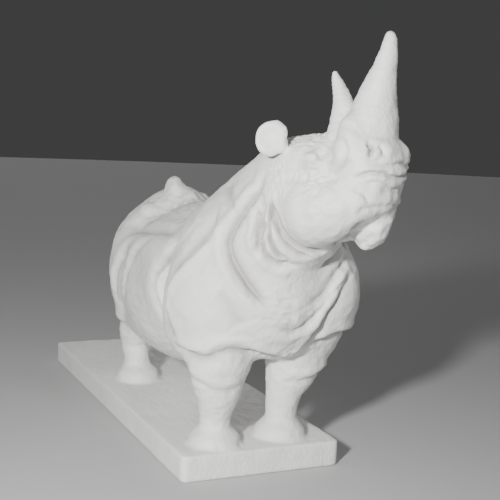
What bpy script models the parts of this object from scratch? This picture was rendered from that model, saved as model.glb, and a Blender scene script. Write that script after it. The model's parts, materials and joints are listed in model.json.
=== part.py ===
"""A plaster rhinoceros with a raised head, cast in one with the slab that it stands on.

Metres, +Z up. +X is the way the animal faces and +Y is its left. The origin is the centre of the slab's underside.
"""

import math

import bmesh
import bpy
import numpy as np

# Driving dimensions
SLAB_LENGTH = 0.480
SLAB_WIDTH = 0.163
SLAB_THICKNESS = 0.025
SLAB_CORNER = 0.007
SLAB_EDGE = 0.0025
FIGURE_HEIGHT = 0.381

# The figure is drawn in grains. A grain is this share of its height, from the slab's top to the front horn's tip,
# so it is 1 mm at the nominal size. A place is (forward, left, up) from the middle of the slab's top.
GRAIN = FIGURE_HEIGHT / 381

NODE = "rhinoceros"
FIGURE_FACES = 9400
CREASE_DEPTH = 0.8
NARROWEST = 2.8
PLASTER = (0.80, 0.80, 0.78, 1.0)


def smooth_union(a, b, reach):
    """The two distances joined with a fillet that is about as wide as reach."""
    share = np.clip(0.5 + 0.5 * (b - a) / reach, 0.0, 1.0)
    return b + (a - b) * share - reach * share * (1.0 - share)


def turn(yaw=0.0, pitch=0.0, roll=0.0):
    """Rows are a mass's own forward, left and up axes. Angles in degrees: yaw turns left, pitch lifts the front."""
    cy, sy = math.cos(math.radians(yaw)), math.sin(math.radians(yaw))
    cp, sp = math.cos(math.radians(pitch)), math.sin(math.radians(pitch))
    cr, sr = math.cos(math.radians(roll)), math.sin(math.radians(roll))
    forward = np.array([cy * cp, sy * cp, sp])
    left = np.array([-sy, cy, 0.0])
    up = np.cross(forward, left)
    return np.array([forward, cr * left + sr * up, cr * up - sr * left])


class Frame:
    """A place and a set of axes that masses are drawn in."""

    def __init__(self, origin=(0, 0, 0), axes=None):
        self.origin = np.array(origin, float)
        self.axes = np.eye(3) if axes is None else axes

    def out(self, place):
        return self.origin + np.asarray(place, float) @ self.axes

    def into(self, points):
        return (points - self.origin) @ self.axes.T


BODY = Frame()
HEAD = Frame((266, 12, 297), turn(yaw=25, pitch=0))


def round_shell(detail):
    """Places and faces of a ball of radius 1."""
    bm = bmesh.new()
    bmesh.ops.create_icosphere(bm, subdivisions=detail, radius=1.0)
    places = np.array([v.co for v in bm.verts])
    faces = np.array([[v.index for v in face.verts] for face in bm.faces])
    bm.free()
    return places, faces


FINE_SHELL = round_shell(3)
PLAIN_SHELL = round_shell(2)


class Ball:
    """An ellipsoid."""

    def __init__(self, centre, radii, reach=14, frame=BODY, yaw=0, pitch=0, roll=0):
        self.reach = reach
        self.radii = np.array(radii, float)
        self.own = Frame(frame.out(centre), turn(yaw, pitch, roll) @ frame.axes)
        self.middle = self.own.origin
        self.span = max(radii)

    def distance(self, points):
        p = self.own.into(points)
        near = np.linalg.norm(p / self.radii, axis=1)
        slope = np.linalg.norm(p / self.radii**2, axis=1)
        return near * (near - 1.0) / np.maximum(slope, 1e-9)

    def shells(self):
        places, faces = FINE_SHELL
        return [(self.own.out(places * self.radii), faces)]


def eased(stations, steps):
    """The stations joined by a smooth curve that passes through each, with this many steps to a length."""
    p = np.array(stations, float)
    ends = [2 * p[0] - p[1], *p, 2 * p[-1] - p[-2]]
    made = []
    for a, b, c, d in zip(ends, ends[1:], ends[2:], ends[3:]):
        for t in np.arange(steps) / steps:
            made.append(b + 0.5 * t * (c - a + t * (2 * a - 5 * b + 4 * c - d + t * (3 * (b - c) + d - a))))
    return np.array(made + [p[-1]])


class Limb:
    """A round chain that tapers through stations of (forward, left, up, radius)."""

    def __init__(self, stations, reach=10, frame=BODY, flat=1.0, steps=3):
        self.reach = reach
        self.frame = frame
        self.squash = np.array([1.0, flat, 1.0])
        stations = eased(stations, steps)
        self.places = stations[:, :3] / self.squash
        self.sizes = stations[:, 3]
        centres = frame.out(stations[:, :3])
        self.middle = centres.mean(axis=0)
        self.span = (np.linalg.norm(centres - self.middle, axis=1) + self.sizes * max(1.0, flat)).max()

    def distance(self, points):
        p = self.frame.into(points) / self.squash
        best = np.full(len(p), 1e9)
        for a, b, ra, rb in zip(self.places, self.places[1:], self.sizes, self.sizes[1:]):
            line = b - a
            along = np.clip((p - a) @ line / (line @ line), 0.0, 1.0)
            gap = np.linalg.norm(p - a - along[:, None] * line, axis=1)
            best = np.minimum(best, gap - (ra + along * (rb - ra)))
        return best

    def shells(self):
        places, faces = PLAIN_SHELL
        made = []
        for a, b, ra, rb in zip(self.places, self.places[1:], self.sizes, self.sizes[1:]):
            for t in (0.0, 0.5, 1.0):
                ball = a + t * (b - a) + (ra + t * (rb - ra)) * places
                made.append((self.frame.out(ball * self.squash), faces))
        return made


class Crease:
    """A groove along a smooth curve laid on the skin. With a lift, the skin beside it swells into a roll.

    The roll is on the left of the groove's run for side 1 and on its right for side -1, seen from outside.
    """

    def __init__(self, places, depth, width, lift=0.0, side=1, frame=BODY, fade=0.2, steps=5):
        self.places = places
        self.depth = depth
        self.width = max(width, NARROWEST)
        self.lift = lift
        self.side = side
        self.frame = frame
        self.fade = fade
        self.steps = steps

    def guide(self):
        return eased([self.frame.out(place) for place in self.places], self.steps)

    def rest(self, line, outward):
        """Takes the curve as laid on the skin, and finds which way its left is at each length."""
        self.line = line
        self.runs = np.diff(line, axis=0)
        self.outward = outward / np.linalg.norm(outward, axis=1, keepdims=True)
        left = np.cross(outward[1:] + outward[:-1], self.runs)
        self.left = left / np.linalg.norm(left, axis=1, keepdims=True)

    def cut(self, points):
        """How far the skin is pushed in at each point. A lifted lip gives less than nought."""
        far = 4.0 * self.width
        low, high = self.line.min(axis=0) - far, self.line.max(axis=0) + far
        near = np.nonzero(((points > low) & (points < high)).all(axis=1))[0]
        found = np.zeros(len(points))
        if not len(near):
            return found
        p = points[near]
        gaps = (self.line**2).sum(axis=1) - 2.0 * p @ self.line.T
        station = gaps.argmin(axis=1)
        close = gaps.min(axis=1) + (p**2).sum(axis=1) < far**2
        near, p, station = near[close], p[close], station[close]
        best = np.full(len(p), 1e9)
        place = np.zeros(len(p))
        side = np.zeros(len(p))
        below = np.zeros(len(p))
        for k in (np.maximum(station - 1, 0), np.minimum(station, len(self.runs) - 1)):
            a, run = self.line[k], self.runs[k]
            along = np.clip(((p - a) * run).sum(axis=1) / (run**2).sum(axis=1), 0.0, 1.0)
            away = p - a - along[:, None] * run
            gap = np.linalg.norm(away, axis=1)
            closer = gap < best
            best[closer] = gap[closer]
            place[closer] = ((k + along) / len(self.runs))[closer]
            side[closer] = (away * self.left[k]).sum(axis=1)[closer]
            below[closer] = (away * self.outward[k]).sum(axis=1)[closer]
        ends = np.clip(np.minimum(place, 1.0 - place) / self.fade, 0.0, 1.0)
        ends = ends * ends * (3.0 - 2.0 * ends)
        beside = np.sqrt(np.maximum(best**2 - below**2, 0.0))
        groove = CREASE_DEPTH * self.depth * np.exp(-((beside / self.width) ** 1.5))
        groove *= np.exp(-((below / (self.depth + 2.0 * self.width)) ** 4))
        roll = self.lift * np.exp(-(((self.side * side - 2.0 * self.width) / (1.5 * self.width)) ** 2))
        roll *= np.exp(-((best / (3.5 * self.width)) ** 4))
        found[near] = (groove - roll) * ends
        return found


class Dab:
    """A soft lump on the skin, or a hollow where its height is less than nought."""

    def __init__(self, place, height, size, frame=BODY):
        self.place = frame.out(place)
        self.height = height
        self.size = np.array(size, float) * np.ones(3)
        self.axes = frame.axes

    def guide(self):
        return self.place[None]

    def rest(self, line, outward):
        self.place = line[0]

    def cut(self, points):
        near = np.nonzero((np.abs(points - self.place) < 2.5 * self.size.max()).all(axis=1))[0]
        found = np.zeros(len(points))
        away = (points[near] - self.place) @ self.axes.T / self.size
        found[near] = -self.height * np.exp(-(away**2).sum(axis=1))
        return found


def both(kind, first, *rest, **named):
    """A mass and its mirror image on the other side of its frame."""
    made = []
    for side in (1, -1):
        if kind is Ball:
            place = (first[0], first[1] * side, first[2])
            turned = dict(named)
            turned["yaw"] = named.get("yaw", 0) * side
            turned["roll"] = named.get("roll", 0) * side
            made.append(Ball(place, *rest, **turned))
        else:
            stations = [(s[0], s[1] * side, *s[2:]) for s in first]
            made.append(Limb(stations, *rest, **named))
    return made


def trunk():
    return [
        Ball((36, 0, 128), (104, 71, 74)),
        Ball((104, 2, 134), (70, 77, 68), reach=20),
        Ball((52, 0, 106), (98, 71, 64), reach=14),
        Ball((-44, 0, 138), (50, 58, 76), reach=20),
        *both(Ball, (-38, 35, 128), (44, 34, 64), reach=14),
        *both(Ball, (-30, 33, 88), (25, 22, 26), reach=12),
        *both(Ball, (12, 38, 82), (52, 23, 24), reach=10),
        *both(Ball, (-28, 24, 176), (34, 24, 26), reach=14),
        *both(Limb, [(-36, 46, 158, 14), (40, 50, 164, 15), (124, 50, 172, 15)], reach=12),
        Ball((-30, 4, 194), (40, 26, 28), reach=18),
        Ball((-9, -6, 218), (17, 10, 21), reach=8),
        Ball((4, 6, 207), (26, 16, 20), reach=10),
        Ball((0, 22, 203), (24, 14, 18), reach=10),
        Ball((-20, -33, 198), (13, 9, 9), reach=6),
        Ball((85, 2, 174), (80, 40, 42), reach=24),
        Ball((196, -42, 142), (54, 41, 70), reach=10, pitch=-18, roll=-9),
        Ball((212, 57, 146), (54, 44, 60), reach=12, pitch=-14, roll=4),
        Ball((218, 8, 142), (54, 64, 60), reach=16),
        Limb([(-84, 0, 178, 9), (-96, 0, 158, 7), (-99, 0, 128, 5.5), (-95, 0, 100, 6)], reach=5),
    ]


def neck():
    return [
        Limb([(160, 0, 176, 58), (218, 4, 202, 57), (256, 14, 226, 50)], reach=20),
        Limb([(120, 0, 205, 18), (175, 1, 228, 22), (250, 6, 266, 24)], reach=18),
    ]


def legs():
    fore_right = [(213, -37, 92, 33), (214, -39, 66, 25), (212, -38, 50, 21), (209, -38, 28, 15)]
    fore_left = [(206, 50, 96, 34), (205, 42, 66, 25), (205, 37, 50, 19), (204, 34, 28, 15.5)]
    hind_right = [(-32, -36, 84, 25), (-38, -38, 60, 19), (-43, -38, 42, 15), (-39, -36, 28, 15)]
    hind_left = [(-24, 46, 84, 30), (-4, 46, 64, 21), (6, 45, 44, 16), (10, 44, 28, 15)]
    made = [Limb(stations, reach=10) for stations in (fore_right, fore_left, hind_right, hind_left)]
    for x, y in ((208, -38), (204, 33), (-35, -35), (14, 44)):
        made.append(Ball((x, y, 2), (26, 25, 17), reach=12))
    return made


def head():
    return [
        Ball((22, 0, -46), (50, 35, 41), frame=HEAD, reach=16),
        Limb([(8, 0, -29, 23), (50, 0, -24, 25), (76, 0, -24, 26)], frame=HEAD, reach=12, flat=1.1),
        *both(Ball, (14, 12, -56), (46, 28, 41), frame=HEAD, reach=8),
        *both(Limb, [(34, 16, -63, 33), (52, 17, -60, 28), (68, 16, -53, 22)], frame=HEAD, reach=4),
        Ball((66, 12, -61), (24, 18, 37), frame=HEAD, reach=4),
        Ball((74, 0, -18), (27, 34, 25), frame=HEAD, reach=8),
        Ball((76, 0, -34), (24, 31, 18), frame=HEAD, reach=8),
        Ball((70, 0, -54), (27, 27, 16), frame=HEAD, reach=6),
        *both(Ball, (34, 32, -26), (12, 6, 9), frame=HEAD, reach=5),
        *both(Limb, [(60, 30, -27, 4.5), (66, 31, -19, 6.5), (69, 29, -9, 6)], frame=HEAD, reach=8),
        *both(Limb, [(66, 17, 4, 13), (66, 25, -9, 10)], frame=HEAD, reach=10),
        *both(Ball, (16, 21, -18), (12, 9, 9), frame=HEAD, reach=8),
    ]


def horns():
    front = [(70, 0, -4, 23.5), (73, 0, 12, 21.5), (75.5, 0, 30, 16.5), (79, 0, 44, 12.5), (82, 0, 56, 10),
             (84.5, 0, 70, 7.6), (85.5, 0, 81, 4.8)]
    rear = [(46, 0, -4, 16), (43, 0, 18, 10.8), (39, 0, 34, 7.3), (34, 0, 45, 4.2), (32, 0, 50.5, 2.6)]
    return [Limb(front, frame=HEAD, reach=5), Limb(rear, frame=HEAD, reach=6)]


def ears():
    """Cupped discs that face forward and outward, with a straight inner edge that joins the head."""
    made = []
    for x, side, z in ((-6, -1, -7), (-12, 1, -20)):
        turned = {"frame": HEAD, "reach": 3, "yaw": -40 * side}
        made.append(Ball((x, 38 * side, z), (12.5, 5, 15), **turned))
        made.append(Ball((x + 4, 35 * side, z + 3), (9.3, 4.5, 12.5), **turned))
        edge = [(x + 6, 32 * side, z + 8, 3), (x + 7.5, 31.5 * side, z + 1, 3.2), (x + 8.2, 32 * side, z - 6, 4)]
        made.append(Limb(edge, frame=HEAD, reach=5))
    return made


def dishes():
    """Hollows inside the ears."""
    near = Ball((-3, -45, -5), (11, 6.5, 13), frame=HEAD, yaw=40)
    far = Ball((-9, 45, -18), (11, 6.5, 13), frame=HEAD, yaw=-40)
    return [near, far]


def mirrored(places):
    return [(x, -y, z) for x, y, z in places]


def shoulder_creases():
    outer = [(190, -76, 90), (160, -76, 97), (136, -74, 108), (126, -72, 124), (120, -72, 142), (124, -69, 154),
             (140, -63, 170), (160, -59, 187), (182, -54, 208), (190, -46, 224), (186, -30, 238)]
    inner = [(208, -80, 98), (194, -83, 112), (184, -82, 128), (184, -81, 143), (191, -78, 160), (207, -69, 179),
             (219, -57, 198), (222, -50, 214), (216, -38, 234)]
    apron = [(190, -82, 92), (217, -70, 90), (231, -60, 90), (238, -50, 95), (241, -38, 98), (244, -20, 95),
             (246, -6, 90), (240, 20, 85), (250, 32, 95), (262, 40, 112), (268, 48, 132), (265, 64, 155),
             (256, 76, 170)]
    far_hem = [(250, 40, 98), (253, 54, 103), (253, 68, 107), (238, 82, 108), (222, 88, 106), (190, 86, 98),
               (160, 76, 92)]
    hollow = [(246, -56, 156), (252, -44, 138), (256, -32, 118)]
    made = [Crease(apron, 6.5, 4.5, lift=3, fade=0.08), Crease(far_hem, 6, 4.5, lift=3, fade=0.12)]
    made.append(Crease(hollow, 3, 9))
    for places, depth, width in ((outer, 8, 3.6), (inner, 13, 5.5)):
        made.append(Crease(places, depth, width, lift=3.5, side=-1))
        made.append(Crease(mirrored(places), depth, width, lift=3.5, side=1))
    return made


def neck_creases():
    groove = [(268, -26, 270), (268, -34, 250), (261, -35, 234), (249, -42, 213), (243, -45, 199), (246, -44, 185),
              (252, -38, 171), (258, -30, 158), (265, -21, 147), (270, -8, 137)]
    plate = [(196, -26, 248), (236, -41, 233), (252, -40, 221)]
    made = [Crease(groove, 9, 5, lift=3.5, side=-1), Crease(plate, 4, 6)]
    folds = [
        ([(272, -34, 234), (274, -33, 217), (271, -32, 203), (267, -26, 186)], 7, 3.2),
        ([(270, -32, 250), (278, -28, 232), (277, -29, 216), (276, -31, 205), (274, -26, 192), (276, -17, 182),
          (281, -4, 177), (282, 9, 177)], 8, 3.6),
        ([(286, -31, 246), (285, -27, 226), (282, -25, 210), (279, -20, 199), (279, -12, 188), (282, -2, 182)], 8, 3),
        ([(284, -27, 236), (287, -23, 222), (289, -17, 205), (290, -9, 196), (289, 5, 190), (288, 18, 187)], 8, 3.2),
        ([(284, -32, 238), (288, -24, 222), (292, -12, 206), (294, 3, 197), (294, 17, 194), (290, 30, 193)], 7, 3),
    ]
    made += [Crease(places, depth, width, lift=2.6, side=-1) for places, depth, width in folds]
    upper = [(252, 70, 181), (261, 60, 174), (266, 47, 159), (268, 38, 149), (270, 20, 140)]
    sling = [(254, 74, 175), (263, 64, 163), (269, 46, 148), (266, 33, 131), (267, 13, 117), (267, -1, 120),
             (268, -10, 130)]
    made += [Crease(upper, 5, 4, lift=2.5), Crease(sling, 5, 4, lift=2, fade=0.35)]
    far_groove = [(250, 52, 262), (244, 58, 240), (232, 66, 214), (230, 72, 196), (240, 72, 182)]
    far_first = [(262, 50, 236), (258, 52, 214), (258, 54, 196), (264, 46, 182), (270, 30, 174)]
    far_second = [(272, 50, 234), (272, 50, 216), (276, 46, 202), (284, 34, 194)]
    made += [Crease(places, 5, 4.5, lift=2.5) for places in (far_groove, far_first, far_second)]
    return made


def flank_creases():
    folds = [
        [(64, -65, 172), (36, -68, 156), (22, -70, 136), (14, -72, 118), (10, -70, 98)],
        [(10, -64, 166), (-10, -66, 148), (-24, -68, 126), (-27, -67, 104)],
        [(-50, -60, 168), (-62, -62, 140), (-60, -60, 108)],
    ]
    back = [(-42, -54, 180), (10, -54, 184), (60, -52, 188), (140, -52, 194)]
    hem = [(-78, -42, 74), (-58, -54, 70), (-34, -60, 68), (-10, -60, 64)]
    made = []
    for side, turned in ((-1, list), (1, mirrored)):
        for places in folds:
            made.append(Crease(turned(places), 5, 4.5, lift=2.5, side=side))
        made.append(Crease(turned(back), 4.5, 6, lift=2.5, side=-side))
        made.append(Crease(turned(hem), 4, 4, lift=1.5, side=-side))
    return made


def head_creases():
    """The muzzle's lips, nostrils and folds. Each list is the animal's right side, and its left is a mirror image."""
    liptop = [(82, -33, -21), (89, -28, -20), (95, -24, -20), (97, -19, -23), (101, -13, -24), (103, -4, -22)]
    mouth = [(78, -33, -37), (83, -30, -33), (90, -25, -30), (94, -21, -30), (98, -15, -30), (99, -10, -32),
             (101, -3, -33)]
    under = [(86, -29, -39), (90, -25, -38), (94, -22, -37), (97, -17, -38), (98, -9, -41), (98, -2, -43)]
    chin = [(80, -31, -66), (87, -25, -60), (93, -14, -58), (96, -4, -57)]
    ring = [(72 + 25 * math.cos(t), 25 * math.sin(t), -1) for t in np.linspace(-1.2, 1.2, 9)]
    made = [Crease(ring, 1.6, 3, frame=HEAD)]
    for places, depth, width, lift in ((liptop, 2.8, 2, 0.8), (mouth, 5, 2.1, 1.2), (under, 2, 2, 0.8),
                                       (chin, 2, 3, 0)):
        made.append(Crease(places + mirrored(places)[::-1], depth, width, lift=lift, frame=HEAD, fade=0.12))
    nostril = [(85, -27, -7), (87, -25, -8), (89, -24, -10), (90, -26, -14), (90, -28, -19)]
    wing = [(92, -20, -8), (95, -19, -9), (96, -18, -12), (96, -18, -16)]
    cheek = [(78, -34, -42), (84, -29, -46), (87, -26, -50), (90, -22, -55)]
    snout = [(58, -38, -43), (60, -33, -36), (62, -31, -31), (69, -33, -28), (75, -34, -24), (80, -34, -20)]
    oval = [(65, -28, -2), (72, -32, -8), (76, -34, -14), (75, -35, -20), (70, -35, -25)]
    behind_oval = [(50, -23, -8), (52, -28, -16), (57, -33, -24), (61, -32, -31)]
    brow = [(40, -15, 0), (46, -23, -9), (44, -31, -17), (41, -37, -24), (32, -38, -30)]
    lid = [(34, -37, -36), (39, -38, -38), (44, -37, -37), (48, -35, -33)]
    for turned, side in ((list, -1), (mirrored, 1)):
        for places, depth, width, lift in (
            (nostril, 6.5, 2.3, 1.5), (wing, 2.4, 1.8, 1), (cheek, 1.8, 2, 1), (snout, 2.4, 3.4, 1),
            (oval, 1.2, 1.8, 0.5), (behind_oval, 1.2, 3, 0.6), (brow, 3, 4, 1.6), (lid, 1.6, 1.6, 1),
        ):
            made.append(Crease(turned(places), depth, width, lift=lift, side=side, frame=HEAD))
    slit = [(84, -18, -68), (75, -15, -76), (65, -9, -84), (54, -2, -89), (41, 10, -95), (29, 16, -101)]
    made.append(Crease(slit, 14, 4, frame=HEAD))
    return made


def head_dabs():
    """Lumps and hollows of the face, on both sides."""
    lumps = [
        ((68, -36, -15), 1.6, (5, 5, 9)),
        ((99, -13, -12), 3, (5, 5, 6)),
        ((92, -22, -15), 3.5, 3.2),
        ((92, -18, -46), 1.8, 6),
        ((95, -6, -50), 1.2, 5),
        ((41, -38, -33), 2.5, 4),
        ((42, -38, -33), 1.5, 2),
        ((20, -32, -19), 1.5, 9),
        ((30, -34, -26), -3, 8),
        ((59, -42, -47), 1.8, (7, 5, 6)),
        ((52, -44, -56), 1.8, (6, 5, 6)),
        ((66, -40, -58), 1.8, (6, 5, 7)),
        ((60, -44, -64), 1.6, (7, 4, 3)),
        ((48, -47, -65), 1.4, (3, 3, 5)),
        ((73, -38, -62), 1.6, (3, 4, 6)),
        ((88, -30, -27), 1.5, (6, 4, 4)),
    ]
    made = []
    for place, height, size in lumps:
        for side in (1, -1):
            made.append(Dab((place[0], side * place[1], place[2]), height, size, frame=HEAD))
    return made


def knee_creases():
    near = [(206, -62, 70), (224, -61, 64), (234, -46, 59), (230, -24, 61)]
    far = [(206, 64, 70), (224, 62, 64), (230, 42, 59), (224, 22, 61)]
    return [Crease(near, 2.5, 4, lift=2), Crease(far, 2.5, 4, lift=2, side=-1)]


MASSES = trunk() + neck() + legs() + head() + horns() + ears()
HOLLOWS = dishes()
CREASES = shoulder_creases() + neck_creases() + flank_creases() + head_creases() + knee_creases() + head_dabs()


def skin(points):
    """Distance to the joined masses, before any crease."""
    found = np.full(len(points), 60.0)
    for mass in MASSES:
        near = np.linalg.norm(points - mass.middle, axis=1) < mass.span + mass.reach + 10.0
        found[near] = smooth_union(found[near], mass.distance(points[near]), mass.reach)
    for hollow in HOLLOWS:
        found = -smooth_union(-found, hollow.distance(points), 2.0)
    return found


def carved(points):
    found = skin(points)
    for crease in CREASES:
        found = found + crease.cut(points)
    return found


def slope(points, field=carved, step=0.5):
    """The gradient of a field, by central differences."""
    columns = []
    for axis in np.eye(3) * step:
        columns.append((field(points + axis) - field(points - axis)) / (2 * step))
    return np.stack(columns, axis=1)


def points_of(mesh):
    flat = np.empty(len(mesh.vertices) * 3, np.float32)
    mesh.vertices.foreach_get("co", flat)
    return flat.reshape(-1, 3).astype(float)


def set_points(mesh, points):
    mesh.vertices.foreach_set("co", points.astype(np.float32).ravel())
    mesh.update()


def settle(points, field=carved, rounds=4, longest=6.0):
    """Moves points on to the surface where the field is nought."""
    for _ in range(rounds):
        gradient = slope(points, field)
        size = np.maximum((gradient**2).sum(axis=1), 0.04)
        move = -(field(points) / size)[:, None] * gradient
        reach = np.linalg.norm(move, axis=1, keepdims=True)
        points = points + move * np.minimum(1.0, longest / np.maximum(reach, 1e-9))
    return points


def applied(obj):
    """The object's mesh with its modifiers applied."""
    graph = bpy.context.evaluated_depsgraph_get()
    mesh = bpy.data.meshes.new_from_object(obj.evaluated_get(graph))
    obj.modifiers.clear()
    old = obj.data
    obj.data = mesh
    bpy.data.meshes.remove(old)


def remesh(obj, size):
    modifier = obj.modifiers.new("voxels", "REMESH")
    modifier.mode = "VOXEL"
    modifier.voxel_size = size
    applied(obj)


def lay(carving):
    """Settles the guides of all the carving on the skin in one go."""
    guides = [carved_line.guide() for carved_line in carving]
    laid = settle(np.concatenate(guides), skin, rounds=5)
    outward = slope(laid, skin)
    start = 0
    for carved_line, guide in zip(carving, guides):
        stop = start + len(guide)
        carved_line.rest(laid[start:stop], outward[start:stop])
        start = stop


def make_figure():
    """The animal as one closed mesh, in grains."""
    shells = [shell for mass in MASSES for shell in mass.shells()]
    counts = np.cumsum([0] + [len(places) for places, _ in shells])
    mesh = bpy.data.meshes.new(NODE)
    mesh.from_pydata(
        np.concatenate([places for places, _ in shells]).tolist(),
        [],
        np.concatenate([faces + first for (_, faces), first in zip(shells, counts)]).tolist(),
    )
    obj = bpy.data.objects.new(NODE, mesh)
    bpy.context.scene.collection.objects.link(obj)
    for size in (4.0, 2.4):
        remesh(obj, size)
        set_points(obj.data, settle(points_of(obj.data)))
    modifier = obj.modifiers.new("fewer faces", "DECIMATE")
    modifier.ratio = FIGURE_FACES / (2 * len(obj.data.polygons))
    applied(obj)
    return obj


def make_slab(collection):
    """The slab, with rounded corners and a softened top edge."""
    bm = bmesh.new()
    bmesh.ops.create_cube(bm, size=1.0)
    for v in bm.verts:
        v.co.x *= SLAB_LENGTH
        v.co.y *= SLAB_WIDTH
        v.co.z = (v.co.z + 0.5) * SLAB_THICKNESS
    upright = [e for e in bm.edges if abs(e.verts[0].co.z - e.verts[1].co.z) > SLAB_THICKNESS / 2]
    bmesh.ops.bevel(bm, geom=upright, offset=SLAB_CORNER, segments=3, profile=0.5, affect="EDGES")
    rim = [e for e in bm.edges if min(v.co.z for v in e.verts) > SLAB_THICKNESS * 0.9]
    bmesh.ops.bevel(bm, geom=rim, offset=SLAB_EDGE, segments=2, profile=0.5, affect="EDGES")
    mesh = bpy.data.meshes.new("slab")
    bm.to_mesh(mesh)
    bm.free()
    slab = bpy.data.objects.new("slab", mesh)
    collection.objects.link(slab)
    return slab


def main():
    for obj in list(bpy.data.objects):
        bpy.data.objects.remove(obj)
    part = bpy.data.collections.new("rhinoceros sculpture")
    cutters = bpy.data.collections.new("joined in")
    for collection in (part, cutters):
        bpy.context.scene.collection.children.link(collection)
    lay(CREASES)
    figure = make_figure()
    bpy.context.scene.collection.objects.unlink(figure)
    part.objects.link(figure)
    points = points_of(figure.data) * GRAIN
    points[:, 2] += SLAB_THICKNESS
    set_points(figure.data, points)
    slab = make_slab(cutters)
    slab.hide_render = True
    slab.display_type = "WIRE"
    join = figure.modifiers.new("stands on its slab", "BOOLEAN")
    join.operation = "UNION"
    join.solver = "EXACT"
    join.object = slab
    applied(figure)
    plaster = bpy.data.materials.new("plaster")
    plaster.use_nodes = True
    shader = plaster.node_tree.nodes["Principled BSDF"]
    shader.inputs["Base Color"].default_value = PLASTER
    shader.inputs["Roughness"].default_value = 0.6
    plaster.diffuse_color = PLASTER
    figure.data.materials.append(plaster)
    return figure


main()
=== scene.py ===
"""The looks of the plaster rhinoceros: one carved and hand-finished piece that stands for the CAD solid.

Metres, +Z up, in the CAD's own frame. +X is the way the animal faces and +Y is its left.
"""

import json
import math

import bmesh
import bpy
import numpy as np
from mathutils import Matrix, Vector, noise

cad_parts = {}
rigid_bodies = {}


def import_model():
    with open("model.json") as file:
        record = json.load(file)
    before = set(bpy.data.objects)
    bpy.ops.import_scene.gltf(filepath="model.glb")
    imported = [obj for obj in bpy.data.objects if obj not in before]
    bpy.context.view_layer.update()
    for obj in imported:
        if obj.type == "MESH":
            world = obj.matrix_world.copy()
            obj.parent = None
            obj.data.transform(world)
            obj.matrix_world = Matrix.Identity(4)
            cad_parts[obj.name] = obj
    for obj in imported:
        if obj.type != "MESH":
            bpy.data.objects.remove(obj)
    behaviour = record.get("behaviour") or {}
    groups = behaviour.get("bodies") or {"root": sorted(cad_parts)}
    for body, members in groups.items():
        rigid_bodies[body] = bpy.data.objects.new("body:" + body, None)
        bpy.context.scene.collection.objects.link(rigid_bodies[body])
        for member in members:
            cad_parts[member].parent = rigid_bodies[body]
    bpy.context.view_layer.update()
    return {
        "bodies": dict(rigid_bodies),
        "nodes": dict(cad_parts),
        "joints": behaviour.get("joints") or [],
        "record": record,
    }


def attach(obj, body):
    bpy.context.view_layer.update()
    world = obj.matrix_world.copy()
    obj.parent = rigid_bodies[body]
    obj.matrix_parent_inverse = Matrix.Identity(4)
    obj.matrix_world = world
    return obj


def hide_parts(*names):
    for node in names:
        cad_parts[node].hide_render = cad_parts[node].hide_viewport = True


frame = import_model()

# Driving dimensions, as in the CAD
SLAB_LENGTH = 0.480
SLAB_WIDTH = 0.163
SLAB_THICKNESS = 0.025
FIGURE_HEIGHT = 0.381

# The figure is drawn in grains. A grain is this share of its height, from the slab's top to the front horn's
# tip, so it is 1 mm at the nominal size. A place is (forward, left, up) from the middle of the slab's top.
GRAIN = FIGURE_HEIGHT / 381

NODE = "rhinoceros"
PIECE = "plaster_rhinoceros"

# The mesh's three rounds of voxels, in grains, and the triangles that it ends with
FIRST_VOXELS = 4.0
MIDDLE_VOXELS = 2.4
LAST_VOXELS = 1.25
FACES = 196000

# A crease is cut this share of its stated depth, and the power sets how sharp its bottom is. The rest are
# shares of its width: how far it is looked for, how far in and out of the skin it is felt, its roll's place
# beside it, the roll's own width and where the roll ends.
CREASE_DEPTH = 0.85
CREASE_POWER = 1.15
CREASE_REACH = 4.0
CREASE_SKIN = 2.0
ROLL_PLACE = 2.0
ROLL_WIDTH = 1.5
ROLL_REACH = 3.5

# The field far from every mass, how far past its reach a mass is worked out, the fillet at a hollow's rim,
# and the least squared slope that a point is moved by
FAR = 60.0
MARGIN = 10.0
RIM = 2.0
FLATTEST = 0.04

# The ears in the head's frame, as (forward, side, up) with side 1 for the left, and how far they turn outward
EARS = [(-6, -1, -7), (-12, 1, -20)]
EAR_YAW = 40

# The plaster's colours, and the painted shade that darkens its grooves
PLASTER_SHADE = (0.74, 0.735, 0.715, 1.0)
PLASTER_PALE = (0.82, 0.82, 0.80, 1.0)
PAINTED_CREASE_SHADE = (0.33, 0.32, 0.30, 1.0)

# The photograph's view, in degrees, metres and millimetres of film
CAMERA_AZIMUTH = 65.432
CAMERA_ELEVATION = 7.488
CAMERA_ROLL = 2.322
CAMERA_PLACE = (1.05592, -0.39589, 0.33180)
CAMERA_FILM = 36.0
CAMERA_LENS = 72.0

# The studio: a near key light in watts, soft suns as (name, where the light comes from, strength), and greys
KEY_PLACE = (0.97, -0.70, 0.50)
KEY_TARGET = (0.15, 0.0, 0.2)
KEY_SIZE = 0.1
KEY_POWER = 22.0
FILLS = [("fill behind", (-0.95, 0.2, 0.2), 0.8), ("fill beside", (-0.2, 0.95, 0.2), 0.7)]
FILL_ANGLE = 40.0
FLOOR_RADIUS = 6.0
FLOOR_GREY = (0.5, 0.5, 0.5, 1.0)
FLOOR_ROUGHNESS = 0.8
WORLD_GREY = (0.42, 0.42, 0.43, 1.0)
WORLD_STRENGTH = 0.13


def smooth_union(a, b, reach):
    """The two distances joined with a fillet that is about as wide as reach."""
    share = np.clip(0.5 + 0.5 * (b - a) / reach, 0.0, 1.0)
    return b + (a - b) * share - reach * share * (1.0 - share)


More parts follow.
